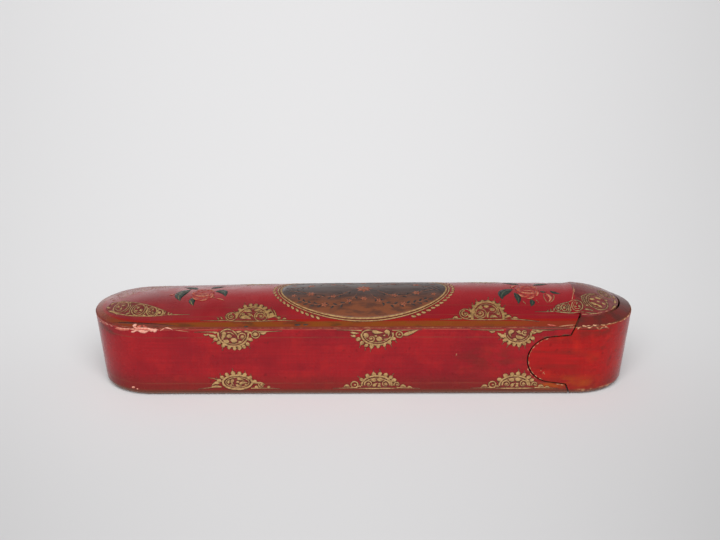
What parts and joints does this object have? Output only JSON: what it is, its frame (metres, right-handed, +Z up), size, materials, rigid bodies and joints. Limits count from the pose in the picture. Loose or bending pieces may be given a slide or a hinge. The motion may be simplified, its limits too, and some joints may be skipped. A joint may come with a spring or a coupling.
{
  "type": "pen box",
  "caption": "Slim domed pen box of red lacquered paper pulp: a sleeve closed at one end, with a round-ended drawer that slides out and carries pens and a small brass inkwell.",
  "frame": {"origin": "on the table, under the middle of the closed box", "axes": "+X along the box towards the end that the drawer comes out of, +Z up, +Y across the box to the back"},
  "size_m": [0.22, 0.0478, 0.0387],
  "materials": {
    "red_lacquer": "red lacquer over paper pulp, semi-gloss, worn at the edges",
    "orange_lacquer": "warmer red lacquer over paper pulp, semi-gloss, worn at the edges",
    "dark_lacquer": "dark red-brown lacquer over paper pulp, satin, rubbed by use",
    "inkwell_brass": "aged sheet brass, ink-stained inside",
    "gold_paint": "powdered gold in varnish, drawn with a fine brush",
    "picture_paint": "watercolour under varnish"
  },
  "bodies": {
    "sleeve": {"outer_sleeve": "red_lacquer", "sleeve_tongue": "red_lacquer"},
    "drawer": {"drawer_end": "orange_lacquer", "drawer_tray": "dark_lacquer", "ink_divider": "dark_lacquer", "inkwell_pot": "inkwell_brass", "inkwell_rim": "inkwell_brass"}
  },
  "joints": [
    {"name": "drawer_slide", "type": "slide", "parent": "sleeve", "child": "drawer", "axis": [1, 0, 0], "range_m": [0, 0.185]}
  ]
}
